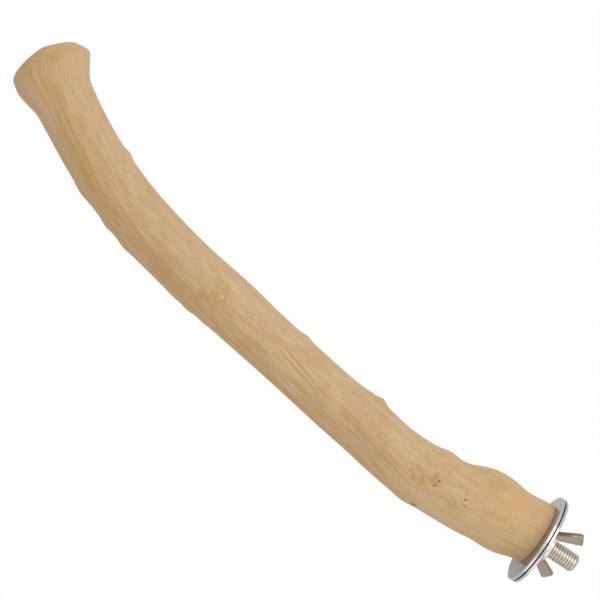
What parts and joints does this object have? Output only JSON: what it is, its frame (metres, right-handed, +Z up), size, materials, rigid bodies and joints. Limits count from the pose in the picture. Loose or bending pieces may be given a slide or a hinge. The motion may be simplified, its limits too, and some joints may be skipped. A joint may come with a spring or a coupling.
{
  "type": "bird perch",
  "caption": "Crooked peeled-wood bird perch with a knob end, held to a cage wall by a hanger bolt, wide washers and a wing nut.",
  "frame": {"origin": "on the bolt axis, in the plane where the two washers meet and grip the cage wall", "axes": "+X along the bolt into the limb, +Z up, the limb bends towards -Y"},
  "size_m": [0.3088, 0.0863, 0.0406],
  "materials": {
    "peeled_wood": "peeled and sanded, unvarnished, matte",
    "bolt_steel": "rolled thread, bright stainless",
    "washer_steel": "punched and tumbled, bright stainless",
    "nut_steel": "forged and tumbled, satin stainless"
  },
  "bodies": {
    "limb": {"branch": "peeled_wood", "hanger_bolt": "bolt_steel"},
    "limb_side_washer": {"inner_washer": "washer_steel"},
    "nut_side_washer": {"outer_washer": "washer_steel"},
    "nut": {"wing_nut": "nut_steel"}
  },
  "joints": [
    {"name": "washer_spin", "type": "hinge", "parent": "limb", "child": "limb_side_washer", "pos_m": [0, 0, 0], "axis": [1, 0, 0], "continuous": true},
    {"name": "washer_slide", "type": "slide", "parent": "limb", "child": "nut_side_washer", "axis": [-1, 0, 0], "range_m": [0, 0.01]},
    {"name": "nut_turn", "type": "hinge", "parent": "nut_side_washer", "child": "nut", "pos_m": [0, 0, 0], "axis": [-1, 0, 0], "range_deg": [0, 2880]}
  ],
  "couplings": [
    {"joint": "washer_slide", "follows": "nut_turn", "m_per_rad": 0.00019894}
  ]
}
